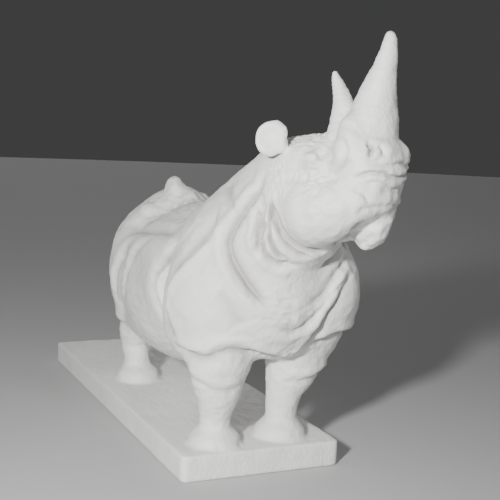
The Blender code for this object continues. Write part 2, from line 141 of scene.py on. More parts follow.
def turn(yaw=0.0, pitch=0.0, roll=0.0):
    """Rows are a mass's own forward, left and up axes. In degrees: yaw turns left, pitch lifts the front."""
    cy, sy = math.cos(math.radians(yaw)), math.sin(math.radians(yaw))
    cp, sp = math.cos(math.radians(pitch)), math.sin(math.radians(pitch))
    cr, sr = math.cos(math.radians(roll)), math.sin(math.radians(roll))
    forward = np.array([cy * cp, sy * cp, sp])
    left = np.array([-sy, cy, 0.0])
    up = np.cross(forward, left)
    return np.array([forward, cr * left + sr * up, cr * up - sr * left])


class Frame:
    """A place and a set of axes that masses are drawn in. Its places go out to the body's, and back in."""

    def __init__(self, origin=(0, 0, 0), axes=None):
        self.origin = np.array(origin, float)
        self.axes = np.eye(3) if axes is None else axes

    def out(self, place):
        return self.origin + np.asarray(place, float) @ self.axes

    def into(self, points):
        return (points - self.origin) @ self.axes.T


BODY = Frame()
HEAD = Frame((266, 12, 297), turn(yaw=25))


def round_shell(detail):
    """Places and faces of a ball of radius 1."""
    bm = bmesh.new()
    bmesh.ops.create_icosphere(bm, subdivisions=detail, radius=1.0)
    places = np.array([v.co for v in bm.verts])
    faces = np.array([[v.index for v in face.verts] for face in bm.faces])
    bm.free()
    return places, faces


FINE_SHELL = round_shell(4)
PLAIN_SHELL = round_shell(2)


class Ball:
    """An ellipsoid."""

    def __init__(self, centre, radii, reach=14, frame=BODY, yaw=0, pitch=0, roll=0):
        self.reach = reach
        self.radii = np.array(radii, float)
        self.own = Frame(frame.out(centre), turn(yaw, pitch, roll) @ frame.axes)
        self.middle = self.own.origin
        self.span = max(radii)

    def distance(self, points):
        p = self.own.into(points)
        near = np.linalg.norm(p / self.radii, axis=1)
        slope = np.linalg.norm(p / self.radii**2, axis=1)
        return near * (near - 1.0) / np.maximum(slope, 1e-9)

    def shells(self):
        places, faces = FINE_SHELL
        return [(self.own.out(places * self.radii), faces)]


def eased(stations, steps):
    """The stations joined by a smooth curve that passes through each, with this many steps to a length."""
    p = np.array(stations, float)
    ends = [2 * p[0] - p[1], *p, 2 * p[-1] - p[-2]]
    made = []
    for a, b, c, d in zip(ends, ends[1:], ends[2:], ends[3:]):
        for t in np.arange(steps) / steps:
            made.append(b + 0.5 * t * (c - a + t * (2 * a - 5 * b + 4 * c - d + t * (3 * (b - c) + d - a))))
    return np.array(made + [p[-1]])


class Limb:
    """A round chain that tapers through stations of (forward, left, up, radius)."""

    def __init__(self, stations, reach=10, frame=BODY, flat=1.0, steps=3):
        self.reach = reach
        self.frame = frame
        self.squash = np.array([1.0, flat, 1.0])
        stations = eased(stations, steps)
        self.places = stations[:, :3] / self.squash
        self.sizes = stations[:, 3]
        centres = frame.out(stations[:, :3])
        self.middle = centres.mean(axis=0)
        self.span = (np.linalg.norm(centres - self.middle, axis=1) + self.sizes * max(1.0, flat)).max()

    def distance(self, points):
        p = self.frame.into(points) / self.squash
        best = np.full(len(p), 1e9)
        for a, b, ra, rb in zip(self.places, self.places[1:], self.sizes, self.sizes[1:]):
            line = b - a
            along = np.clip((p - a) @ line / (line @ line), 0.0, 1.0)
            gap = np.linalg.norm(p - a - along[:, None] * line, axis=1)
            best = np.minimum(best, gap - (ra + along * (rb - ra)))
        return best

    def shells(self):
        places, faces = PLAIN_SHELL
        made = []
        for a, b, ra, rb in zip(self.places, self.places[1:], self.sizes, self.sizes[1:]):
            for t in (0.0, 0.5, 1.0):
                ball = a + t * (b - a) + (ra + t * (rb - ra)) * places
                made.append((self.frame.out(ball * self.squash), faces))
        return made


class Crease:
    """A groove along a smooth curve laid on the skin. With a lift, the skin beside it swells into a roll.

    The roll is on the left of the groove's run for side 1 and on its right for side -1, seen from outside.
    """

    def __init__(self, places, depth, width, lift=0.0, side=1, frame=BODY, fade=0.2, steps=5):
        self.places = places
        self.depth = depth
        self.width = width
        self.lift = lift
        self.side = side
        self.frame = frame
        self.fade = fade
        self.steps = steps

    def guide(self):
        return eased([self.frame.out(place) for place in self.places], self.steps)

    def rest(self, line, outward):
        """Takes the curve as laid on the skin, and finds which way its left is at each length."""
        self.line = line
        self.runs = np.diff(line, axis=0)
        self.outward = outward / np.linalg.norm(outward, axis=1, keepdims=True)
        left = np.cross(outward[1:] + outward[:-1], self.runs)
        self.left = left / np.linalg.norm(left, axis=1, keepdims=True)

    def nearest(self, points):
        """Which points are near the curve, and where each lies.

        That is its distance from the curve, its share along it, and how far it is to the curve's left and
        above the skin.
        """
        far = CREASE_REACH * self.width
        low, high = self.line.min(axis=0) - far, self.line.max(axis=0) + far
        near = np.nonzero(((points > low) & (points < high)).all(axis=1))[0]
        p = points[near]
        gaps = (self.line**2).sum(axis=1) - 2.0 * p @ self.line.T
        station = gaps.argmin(axis=1)
        close = gaps.min(axis=1) + (p**2).sum(axis=1) < far**2
        near, p, station = near[close], p[close], station[close]
        best = np.full(len(p), 1e9)
        place = np.zeros(len(p))
        side = np.zeros(len(p))
        above = np.zeros(len(p))
        for k in (np.maximum(station - 1, 0), np.minimum(station, len(self.runs) - 1)):
            a, run = self.line[k], self.runs[k]
            along = np.clip(((p - a) * run).sum(axis=1) / (run**2).sum(axis=1), 0.0, 1.0)
            away = p - a - along[:, None] * run
            gap = np.linalg.norm(away, axis=1)
            closer = gap < best
            best[closer] = gap[closer]
            place[closer] = ((k + along) / len(self.runs))[closer]
            side[closer] = (away * self.left[k]).sum(axis=1)[closer]
            above[closer] = (away * self.outward[k]).sum(axis=1)[closer]
        return near, best, place, side, above

    def cut(self, points):
        """How far the skin is pushed in at each point. A lifted lip gives less than nought."""
        near, best, place, side, above = self.nearest(points)
        ends = np.clip(np.minimum(place, 1.0 - place) / self.fade, 0.0, 1.0)
        ends = ends * ends * (3.0 - 2.0 * ends)
        beside = np.sqrt(np.maximum(best**2 - above**2, 0.0))
        groove = CREASE_DEPTH * self.depth * np.exp(-((beside / self.width) ** CREASE_POWER))
        groove *= np.exp(-((above / (self.depth + CREASE_SKIN * self.width)) ** 4))
        off_roll = (self.side * side - ROLL_PLACE * self.width) / (ROLL_WIDTH * self.width)
        roll = self.lift * np.exp(-(off_roll**2))
        roll *= np.exp(-((best / (ROLL_REACH * self.width)) ** 4))
        found = np.zeros(len(points))
        found[near] = (groove - roll) * ends
        return found


class Dab:
    """A soft lump on the skin, or a hollow where its height is less than nought."""

    def __init__(self, place, height, size, frame=BODY):
        self.place = frame.out(place)
        self.height = height
        self.size = np.array(size, float) * np.ones(3)
        self.axes = frame.axes

    def guide(self):
        return self.place[None]

    def rest(self, line, outward):
        self.place = line[0]

    def cut(self, points):
        near = np.nonzero((np.abs(points - self.place) < 2.5 * self.size.max()).all(axis=1))[0]
        found = np.zeros(len(points))
        away = (points[near] - self.place) @ self.axes.T / self.size
        found[near] = -self.height * np.exp(-(away**2).sum(axis=1))
        return found


def both(kind, first, *rest, **named):
    """A mass and its mirror image on the other side of its frame."""
    made = []
    for side in (1, -1):
        if kind is Ball:
            place = (first[0], first[1] * side, first[2])
            turned = dict(named)
            turned["yaw"] = named.get("yaw", 0) * side
            turned["roll"] = named.get("roll", 0) * side
            made.append(Ball(place, *rest, **turned))
        else:
            stations = [(s[0], s[1] * side, *s[2:]) for s in first]
            made.append(Limb(stations, *rest, **named))
    return made


def trunk():
    """Barrel, haunches, hip bones, back, shoulders, chest and tail."""
    return [
        Ball((36, 0, 128), (104, 71, 74)),
        Ball((104, 2, 134), (70, 77, 68), reach=20),
        Ball((52, 0, 106), (98, 71, 64), reach=14),
        Ball((-44, 0, 138), (50, 58, 76), reach=20),
        *both(Ball, (-38, 35, 128), (44, 34, 64), reach=14),
        *both(Ball, (-30, 33, 88), (25, 22, 26), reach=12),
        *both(Ball, (12, 38, 82), (52, 23, 24), reach=10),
        *both(Ball, (-28, 24, 176), (34, 24, 26), reach=14),
        *both(Limb, [(-36, 46, 158, 14), (40, 50, 164, 15), (124, 50, 172, 15)], reach=12),
        Ball((-30, 4, 194), (40, 26, 28), reach=18),
        Ball((-9, -6, 218), (17, 10, 21), reach=8),
        Ball((4, 6, 207), (26, 16, 20), reach=10),
        Ball((0, 22, 203), (24, 14, 18), reach=10),
        Ball((-20, -33, 198), (13, 9, 9), reach=6),
        Ball((85, 2, 174), (80, 40, 42), reach=24),
        Ball((196, -42, 142), (54, 41, 70), reach=10, pitch=-18, roll=-9),
        Ball((212, 57, 146), (54, 44, 60), reach=12, pitch=-14, roll=4),
        Ball((218, 8, 142), (54, 64, 60), reach=16),
        Limb([(-84, 0, 178, 9), (-96, 0, 158, 7), (-99, 0, 128, 5.5), (-95, 0, 100, 6)], reach=5),
    ]


def neck():
    """The neck and its crest."""
    return [
        Limb([(160, 0, 176, 58), (218, 4, 202, 57), (256, 14, 226, 50)], reach=20),
        Limb([(120, 0, 205, 18), (175, 1, 228, 22), (250, 6, 266, 24)], reach=18),
    ]


def legs():
    """The four legs and their feet."""
    fore_right = [(213, -37, 92, 33), (214, -39, 66, 25), (212, -38, 50, 21), (209, -38, 28, 15)]
    fore_left = [(206, 50, 96, 34), (205, 42, 66, 25), (205, 37, 50, 19), (204, 34, 28, 15.5)]
    hind_right = [(-32, -36, 84, 25), (-38, -38, 60, 19), (-43, -38, 42, 15), (-39, -36, 28, 15)]
    hind_left = [(-24, 46, 84, 30), (-4, 46, 64, 21), (6, 45, 44, 16), (10, 44, 28, 15)]
    made = [Limb(stations, reach=10) for stations in (fore_right, fore_left, hind_right, hind_left)]
    for x, y in ((208, -38), (204, 33), (-35, -35), (14, 44)):
        made.append(Ball((x, y, 2), (26, 25, 17), reach=12))
    return made


def head():
    """Skull, jowls, jaw, the lobe under it, muzzle, lips, chin, and swellings by the eyes and the horn."""
    return [
        Ball((22, 0, -46), (50, 35, 41), frame=HEAD, reach=16),
        Limb([(8, 0, -29, 23), (50, 0, -24, 25), (76, 0, -24, 26)], frame=HEAD, reach=12, flat=1.1),
        *both(Ball, (14, 12, -56), (46, 28, 41), frame=HEAD, reach=8),
        *both(Limb, [(34, 16, -63, 33), (52, 17, -60, 28), (68, 16, -53, 22)], frame=HEAD, reach=4),
        Ball((66, 12, -61), (24, 18, 37), frame=HEAD, reach=4),
        Ball((74, 0, -18), (27, 34, 25), frame=HEAD, reach=8),
        Ball((76, 0, -34), (24, 31, 18), frame=HEAD, reach=8),
        Ball((70, 0, -54), (27, 27, 16), frame=HEAD, reach=6),
        *both(Ball, (34, 32, -26), (12, 6, 9), frame=HEAD, reach=5),
        *both(Limb, [(60, 30, -27, 4.5), (66, 31, -19, 6.5), (69, 29, -9, 6)], frame=HEAD, reach=8),
        *both(Limb, [(66, 17, 4, 13), (66, 25, -9, 10)], frame=HEAD, reach=10),
        *both(Ball, (16, 21, -18), (12, 9, 9), frame=HEAD, reach=8),
    ]


def horns():
    """The tall front horn and the short one behind it."""
    front = [(70, 0, -4, 23.5), (73, 0, 12, 21.5), (75.5, 0, 30, 16.5), (79, 0, 44, 12.5), (82, 0, 56, 10),
             (84.5, 0, 70, 7.6), (85.5, 0, 81, 4.8)]
    rear = [(46, 0, -4, 16), (43, 0, 18, 10.8), (39, 0, 34, 7.3), (34, 0, 45, 4.2), (32, 0, 50.5, 2.6)]
    return [Limb(front, frame=HEAD, reach=5), Limb(rear, frame=HEAD, reach=6)]


def ears():
    """Cupped discs that face forward and outward, with a straight inner edge that joins the head."""
    made = []
    for x, side, z in EARS:
        turned = {"frame": HEAD, "reach": 3, "yaw": -EAR_YAW * side}
        made.append(Ball((x, 38 * side, z), (12.5, 5, 15), **turned))
        made.append(Ball((x + 4, 35 * side, z + 3), (9.3, 4.5, 12.5), **turned))
        edge = [(x + 6, 32 * side, z + 8, 3), (x + 7.5, 31.5 * side, z + 1, 3.2),
                (x + 8.2, 32 * side, z - 6, 4)]
        made.append(Limb(edge, frame=HEAD, reach=5))
    return made


def dishes():
    """Hollows inside the ears."""
    size = (11, 6.5, 13)
    return [Ball((x + 3, 45 * side, z + 2), size, frame=HEAD, yaw=-EAR_YAW * side) for x, side, z in EARS]


def mirrored(places):
    """The same places on the other side."""
    return [(x, -y, z) for x, y, z in places]


def shoulder_creases():
    """The double crease behind each shoulder, the hem over the fore legs and a hollow of the chest."""
    outer = [(190, -76, 90), (160, -76, 97), (136, -74, 108), (126, -72, 124), (120, -72, 142),
             (124, -69, 154), (140, -63, 170), (160, -59, 187), (182, -54, 208), (190, -46, 224),
             (186, -30, 238)]
    inner = [(208, -80, 98), (194, -83, 112), (184, -82, 128), (184, -81, 143), (191, -78, 160),
             (207, -69, 179), (219, -57, 198), (222, -50, 214), (216, -38, 234)]
    apron = [(190, -82, 92), (217, -70, 90), (231, -60, 90), (238, -50, 95), (241, -38, 98), (244, -20, 95),
             (246, -6, 90), (240, 20, 85), (250, 32, 95), (262, 40, 112), (268, 48, 132), (265, 64, 155),
             (256, 76, 170)]
    far_hem = [(250, 40, 98), (253, 54, 103), (253, 68, 107), (238, 82, 108), (222, 88, 106), (190, 86, 98),
               (160, 76, 92)]
    hollow = [(246, -56, 156), (252, -44, 138), (256, -32, 118)]
    made = [Crease(apron, 6.5, 4.5, lift=3, fade=0.08), Crease(far_hem, 6, 4.5, lift=3, fade=0.12)]
    made.append(Crease(hollow, 3, 9))
    band = [(206, -80, 96), (190, -83, 110), (180, -82, 127), (180, -81, 145), (188, -78, 162)]
    for places, depth, width, lift in ((outer, 7.5, 3.8, 3.5), (inner, 11, 5.5, 3.5), (band, 4, 7, 0)):
        made.append(Crease(places, depth, width, lift=lift, side=-1, fade=0.3))
        made.append(Crease(mirrored(places), depth, width, lift=lift, side=1, fade=0.3))
    return made


def neck_creases():
    """The groove behind the jowl, the folds of the throat and the slings across the chest."""
    groove = [(268, -26, 270), (268, -34, 250), (261, -35, 234), (249, -42, 213), (243, -45, 199),
              (246, -44, 185), (252, -38, 171), (258, -30, 158), (265, -21, 147), (270, -8, 137)]
    plate = [(196, -26, 248), (236, -41, 233), (252, -40, 221)]
    made = [Crease(groove, 9, 5, lift=3.5, side=-1), Crease(plate, 4, 6)]
    folds = [
        ([(272, -34, 234), (274, -33, 217), (271, -32, 203), (267, -26, 186)], 7, 3.2),
        ([(270, -32, 250), (278, -28, 232), (277, -29, 216), (276, -31, 205), (274, -26, 192),
          (276, -17, 182), (281, -4, 177), (282, 9, 177)], 8, 3.6),
        ([(286, -31, 246), (285, -27, 226), (282, -25, 210), (279, -20, 199), (279, -12, 188),
          (282, -2, 182)], 8, 3),
        ([(284, -27, 236), (287, -23, 222), (289, -17, 205), (290, -9, 196), (289, 5, 190),
          (288, 18, 187)], 8, 3.2),
        ([(284, -32, 238), (288, -24, 222), (292, -12, 206), (294, 3, 197), (294, 17, 194),
          (290, 30, 193)], 7, 3),
    ]
    made += [Crease(places, depth, width, lift=2.6, side=-1) for places, depth, width in folds]
    upper = [(252, 70, 181), (261, 60, 174), (266, 47, 159), (268, 38, 149), (270, 20, 140)]
    sling = [(254, 74, 175), (263, 64, 163), (269, 46, 148), (266, 33, 131), (267, 13, 117), (267, -1, 120),
             (268, -10, 130)]
    made += [Crease(upper, 5, 4, lift=2.5), Crease(sling, 5, 4, lift=2, fade=0.35)]
    far_groove = [(250, 52, 262), (244, 58, 240), (232, 66, 214), (230, 72, 196), (240, 72, 182)]
    far_first = [(262, 50, 236), (258, 52, 214), (258, 54, 196), (264, 46, 182), (270, 30, 174)]
    far_second = [(272, 50, 234), (272, 50, 216), (276, 46, 202), (284, 34, 194)]
    made += [Crease(places, 5, 4.5, lift=2.5) for places in (far_groove, far_first, far_second)]
    return made


def flank_creases():
    """Folds of the flank and rump, the edge of the back and the hem over each hind leg."""
    folds = [
        [(84, -60, 182), (62, -65, 171), (36, -68, 156), (22, -70, 136), (14, -72, 118), (10, -70, 98),
         (16, -68, 78)],
        [(30, -58, 180), (10, -64, 166), (-10, -66, 148), (-24, -68, 126), (-27, -67, 104), (-22, -66, 84)],
        [(-36, -52, 184), (-52, -58, 166), (-62, -62, 140), (-62, -60, 112), (-52, -58, 90)],
    ]
    back = [(-42, -54, 180), (10, -54, 184), (60, -52, 188), (140, -52, 194)]
    hem = [(-78, -42, 74), (-58, -54, 70), (-34, -60, 68), (-10, -60, 64)]
    made = []
    for side, turned in ((-1, list), (1, mirrored)):
        for places in folds:
            made.append(Crease(turned(places), 4.5, 5, lift=2.2, side=side, fade=0.4))
        made.append(Crease(turned(back), 4.5, 6, lift=2.5, side=-side))
        made.append(Crease(turned(hem), 4, 4, lift=1.5, side=-side))
    return made


def head_creases():
    """The muzzle's lips, nostrils and folds. Each list is on the animal's right, and its left mirrors it."""
    liptop = [(82, -33, -21), (89, -28, -20), (95, -24, -20), (97, -19, -23), (101, -13, -24), (103, -4, -22)]
    mouth = [(78, -33, -37), (83, -30, -33), (90, -25, -30), (94, -21, -30), (98, -15, -30), (99, -10, -32),
             (101, -3, -33)]
    under = [(86, -29, -39), (90, -25, -38), (94, -22, -37), (97, -17, -38), (98, -9, -41), (98, -2, -43)]
    chin = [(80, -31, -66), (87, -25, -60), (93, -14, -58), (96, -4, -57)]
    ring = [(72 + 25 * math.cos(t), 25 * math.sin(t), -1) for t in np.linspace(-1.2, 1.2, 9)]
    made = [Crease(ring, 1.6, 3, frame=HEAD)]
    for places, depth, width, lift in ((liptop, 2.8, 2, 0.8), (mouth, 5, 2.1, 1.2), (under, 2, 2, 0.8),
                                       (chin, 2, 3, 0)):
        made.append(Crease(places + mirrored(places)[::-1], depth, width, lift=lift, frame=HEAD, fade=0.12))
    nostril = [(85, -27, -7), (87, -25, -8), (89, -24, -10), (90, -26, -14), (90, -28, -19)]
    wing = [(92, -20, -8), (95, -19, -9), (96, -18, -12), (96, -18, -16)]
    cheek = [(78, -34, -42), (84, -29, -46), (87, -26, -50), (90, -22, -55)]
    snout = [(58, -38, -43), (60, -33, -36), (62, -31, -31), (69, -33, -28), (75, -34, -24), (80, -34, -20)]
    oval = [(65, -28, -2), (72, -32, -8), (76, -34, -14), (75, -35, -20), (70, -35, -25)]
    behind_oval = [(50, -23, -8), (52, -28, -16), (57, -33, -24), (61, -32, -31)]
    brow = [(40, -15, 0), (46, -23, -9), (44, -31, -17), (41, -37, -24), (32, -38, -30)]
    lid = [(34, -37, -36), (39, -38, -38), (44, -37, -37), (48, -35, -33)]
    for turned, side in ((list, -1), (mirrored, 1)):
        for places, depth, width, lift in (
            (nostril, 8, 2.3, 1.8), (wing, 3.2, 1.8, 1.2), (cheek, 2.4, 2, 1), (snout, 3, 3.4, 1.2),
            (oval, 1.2, 1.8, 0.5), (behind_oval, 1.2, 3, 0.6), (brow, 3, 4, 1.6), (lid, 1.6, 1.6, 1),
        ):
            made.append(Crease(turned(places), depth, width, lift=lift, side=side, frame=HEAD))
    slit = [(84, -18, -68), (75, -15, -76), (65, -9, -84), (54, -2, -89), (41, 10, -95), (29, 16, -101)]
    made.append(Crease(slit, 14, 4, frame=HEAD))
    return made


def head_dabs():
    """Lumps and hollows of the face, on both sides."""
    lumps = [
        ((68, -36, -15), 1.6, (5, 5, 9)),
        ((99, -13, -12), 3, (5, 5, 6)),
        ((92, -22, -15), 3.5, 3.2),
        ((92, -18, -46), 1.8, 6),
        ((95, -6, -50), 1.2, 5),
        ((41, -38, -33), 2.5, 4),
        ((42, -38, -33), 1.5, 2),
        ((20, -32, -19), 1.5, 9),
        ((30, -34, -26), -3, 8),
        ((59, -42, -47), 1.8, (7, 5, 6)),
        ((52, -44, -56), 1.8, (6, 5, 6)),
        ((66, -40, -58), 1.8, (6, 5, 7)),
        ((60, -44, -64), 1.6, (7, 4, 3)),
        ((48, -47, -65), 1.4, (3, 3, 5)),
        ((73, -38, -62), 1.6, (3, 4, 6)),
        ((88, -30, -27), 1.5, (6, 4, 4)),
    ]
    made = []
    for place, height, size in lumps:
        for side in (1, -1):
            made.append(Dab((place[0], side * place[1], place[2]), height, size, frame=HEAD))
    return made


def knee_creases():
    """A wrinkle round each fore leg."""
    near = [(206, -62, 70), (224, -61, 64), (234, -46, 59), (230, -24, 61)]
    far = [(206, 64, 70), (224, 62, 64), (230, 42, 59), (224, 22, 61)]
    return [Crease(near, 2.5, 4, lift=2), Crease(far, 2.5, 4, lift=2, side=-1)]


class Slab:
    """The slab as a box with rounded corners and edges, in grains."""

    reach = 5
    middle = np.array([0.0, 0.0, -SLAB_THICKNESS / 2 / GRAIN])
    half = np.array([SLAB_LENGTH, SLAB_WIDTH, SLAB_THICKNESS]) / 2 / GRAIN
    span = float(np.linalg.norm(half))
    corner = 7.0
    edge = 2.5

    def distance(self, points):
        p = np.abs(points - self.middle)
        plan = p[:, :2] - self.half[:2] + self.corner
        side = np.linalg.norm(np.maximum(plan, 0.0), axis=1) + np.minimum(plan.max(axis=1), 0.0) - self.corner
        both_ways = np.stack([side, p[:, 2] - self.half[2]], axis=1) + self.edge
        outside = np.linalg.norm(np.maximum(both_ways, 0.0), axis=1)
        inside = np.minimum(both_ways.max(axis=1), 0.0)
        return outside + inside - self.edge

    def shells(self):
        """A ball that is spread until it fills the box."""
        places, faces = FINE_SHELL
        spread = np.sign(places) * np.minimum(np.abs(places) * 1.8, 1.0)
        return [(self.middle + self.half * spread, faces)]


MASSES = trunk() + neck() + legs() + head() + horns() + ears() + [Slab()]
HOLLOWS = dishes()
CREASES = shoulder_creases() + neck_creases() + flank_creases() + head_creases() + knee_creases()
CARVING = CREASES + head_dabs()


def skin(points):
    """Distance to the joined masses, before any crease."""
    found = np.full(len(points), FAR)
    for mass in MASSES:
        near = np.linalg.norm(points - mass.middle, axis=1) < mass.span + mass.reach + MARGIN
        found[near] = smooth_union(found[near], mass.distance(points[near]), mass.reach)
    for hollow in HOLLOWS:
        found = -smooth_union(-found, hollow.distance(points), RIM)
    return found


def carved(points):
    """Distance to the surface with its creases, lumps and hollows."""
    found = skin(points)
    for mark in CARVING:
        found = found + mark.cut(points)
    return found


def slope(points, field=carved, step=0.5):
    """The gradient of a field, by central differences."""
    columns = []
    for axis in np.eye(3) * step:
        columns.append((field(points + axis) - field(points - axis)) / (2 * step))
    return np.stack(columns, axis=1)


def each_vertex(mesh, name):
    """The places or the normals of a mesh's vertices, a row each."""
    flat = np.empty(len(mesh.vertices) * 3, np.float32)
    mesh.vertices.foreach_get(name, flat)
    return flat.reshape(-1, 3).astype(float)


def points_of(mesh):
    return each_vertex(mesh, "co")


def normals_of(mesh):
    return each_vertex(mesh, "normal")


def set_points(mesh, points):
    mesh.vertices.foreach_set("co", points.astype(np.float32).ravel())
    mesh.update()


def settle(points, field=carved, rounds=4, longest=6.0):
    """Moves points on to the surface where the field is nought."""
    for _ in range(rounds):
        gradient = slope(points, field)
        size = np.maximum((gradient**2).sum(axis=1), FLATTEST)
        move = -(field(points) / size)[:, None] * gradient
        reach = np.linalg.norm(move, axis=1, keepdims=True)
        points = points + move * np.minimum(1.0, longest / np.maximum(reach, 1e-9))
    return points


def apply_modifiers(obj):
    """Swaps the object's mesh for what its modifiers make of it."""
    graph = bpy.context.evaluated_depsgraph_get()
    mesh = bpy.data.meshes.new_from_object(obj.evaluated_get(graph))
    obj.modifiers.clear()
    old = obj.data
    obj.data = mesh
    bpy.data.meshes.remove(old)


def remesh(obj, size):
    modifier = obj.modifiers.new("voxels", "REMESH")
    modifier.mode = "VOXEL"
    modifier.voxel_size = size
    apply_modifiers(obj)


def lay(carving):
    """Settles the guides of all the carving on the skin in one go."""
    guides = [mark.guide() for mark in carving]
    laid = settle(np.concatenate(guides), skin, rounds=5)
    outward = slope(laid, skin)
    start = 0
    for mark, guide in zip(carving, guides):
        stop = start + len(guide)
        mark.rest(laid[start:stop], outward[start:stop])
        start = stop


def sink(obj, rounds, longest=3.0, allowed=0.25):
    """Moves the mesh on to the carved surface along its normals. Points that fell short follow the slope."""
    for _ in range(rounds):
        points = points_of(obj.data)
        move = np.clip(-carved(points), -longest, longest)
        set_points(obj.data, points + move[:, None] * normals_of(obj.data))
    points = points_of(obj.data)
    short = np.abs(carved(points)) > allowed
    points[short] = settle(points[short], rounds=2, longest=longest / 2)
    set_points(obj.data, points)


def relax(obj, times):
    even = obj.modifiers.new("evened out", "SMOOTH")
    even.factor = 0.5
    even.iterations = times
    apply_modifiers(obj)


def thin_out(obj, triangles):
    """Leaves about this many triangles. A voxel's face has four sides, so it counts as two of them."""
    fewer = obj.modifiers.new("fewer faces", "DECIMATE")
    fewer.ratio = triangles / (2 * len(obj.data.polygons))
    apply_modifiers(obj)


def waves(points, size):
    """Smooth noise from -1 to 1 whose lumps are about this big, or this big along each axis."""
    scaled = (points / np.array(size, float)).tolist()
    return np.fromiter((noise.noise(p) for p in scaled), float, len(scaled))


def rough_piece():
    """The shells of all the masses as one loose mesh, in grains."""
    shells = [shell for mass in MASSES for shell in mass.shells()]
    counts = np.cumsum([0] + [len(places) for places, _ in shells])
    mesh = bpy.data.meshes.new(PIECE)
    mesh.from_pydata(
        np.concatenate([places for places, _ in shells]).tolist(),
        [],
        np.concatenate([faces + first for (_, faces), first in zip(shells, counts)]).tolist(),
    )
    obj = bpy.data.objects.new(PIECE, mesh)
    bpy.context.scene.collection.objects.link(obj)
    return obj


def make_piece():
    """The animal and its slab as one closed mesh, in metres."""
    obj = rough_piece()
    remesh(obj, FIRST_VOXELS)
    sink(obj, 2)
    remesh(obj, MIDDLE_VOXELS)
    sink(obj, 1)
    remesh(obj, LAST_VOXELS)
    relax(obj, 2)
    sink(obj, 1)
    finish_surface(obj)
    thin_out(obj, FACES)
    points = points_of(obj.data)
    # How deep each groove is cut, which the plaster material turns into painted shade
    store(obj.data, "groove", carved(points) - skin(points))
    points *= GRAIN
    points[:, 2] = np.maximum(points[:, 2] + SLAB_THICKNESS, 0.0)
    set_points(obj.data, points)
    obj.data.shade_smooth()
    return obj


def store(mesh, name, values):
    """Keeps one number for each vertex, for the material to read."""
    layer = mesh.attributes.new(name, "FLOAT", "POINT")
    layer.data.foreach_set("value", values.astype(np.float32))


def worms(points, size):
    """Noise with thin winding ridges that rise to 0.5, as a loop tool leaves, and hollows between them."""
    return 0.5 - 3.0 * np.abs(waves(points, size))


def patches():
    """Rough places as (place, size, height, lump size, frame, kind of noise)."""
    made = [
        ((20, -4, -6), (26, 34, 14), 1.8, (12, 4, 4), HEAD, worms),
        ((70, 8, -84), (26, 24, 26), 3.2, (7, 7, 7), HEAD, waves),
        ((-14, 0, 212), (62, 44, 26), 1.5, (16, 9, 9), BODY, worms),
        ((80, 0, 205), (70, 40, 20), 1.3, (18, 8, 8), BODY, worms),
        ((270, 2, 138), (20, 26, 22), 1.3, (9, 12, 6), BODY, worms),
        ((240, 10, 92), (26, 34, 8), 2.0, (6, 6, 4), BODY, waves),
        ((210, -38, 60), (30, 28, 12), 1.4, (6, 6, 4), BODY, waves),
        ((208, 38, 60), (30, 28, 12), 1.4, (6, 6, 4), BODY, waves),
    ]
    for side in (1, -1):
        made.append(((42, 38 * side, -36), (18, 14, 17), 1.7, (6, 6, 6), HEAD, worms))
        made.append(((56, 42 * side, -58), (24, 12, 12), 1.2, (6, 6, 5), HEAD, waves))
        made.append(((10, 38 * side, -40), (20, 14, 24), 1.2, (5, 5, 9), HEAD, worms))
    return made


def finish_surface(obj):
    """Lays the hand's unevenness and the rough patches on the surface. They are lower on the slab."""
    all_over = [(0.6, (40, 24, 24), waves), (0.3, 10, waves), (0.4, (28, 12, 12), worms), (0.18, 4.5, waves)]
    slab_share = 0.6
    slab_line = 1.0
    flat_line = 3.0
    patch_end = 4.0
    patch_fall = 1.2
    points = points_of(obj.data)
    outward = normals_of(obj.data)
    lift = sum(height * kind(points, lump) for height, lump, kind in all_over)
    for place, size, height, lump, frame, kind in patches():
        away = (frame.into(points) - np.array(place, float)) / np.array(size, float)
        near = np.nonzero((away**2).sum(axis=1) < patch_end)[0]
        weight = np.exp(-((away[near] ** 2).sum(axis=1)) * patch_fall)
        lift[near] += height * weight * kind(frame.into(points[near]), lump)
    lift *= np.where(points[:, 2] < slab_line, slab_share, 1.0)
    bottom = np.clip((points[:, 2] + SLAB_THICKNESS / GRAIN) / flat_line, 0.0, 1.0)
    set_points(obj.data, points + (lift * bottom)[:, None] * outward)


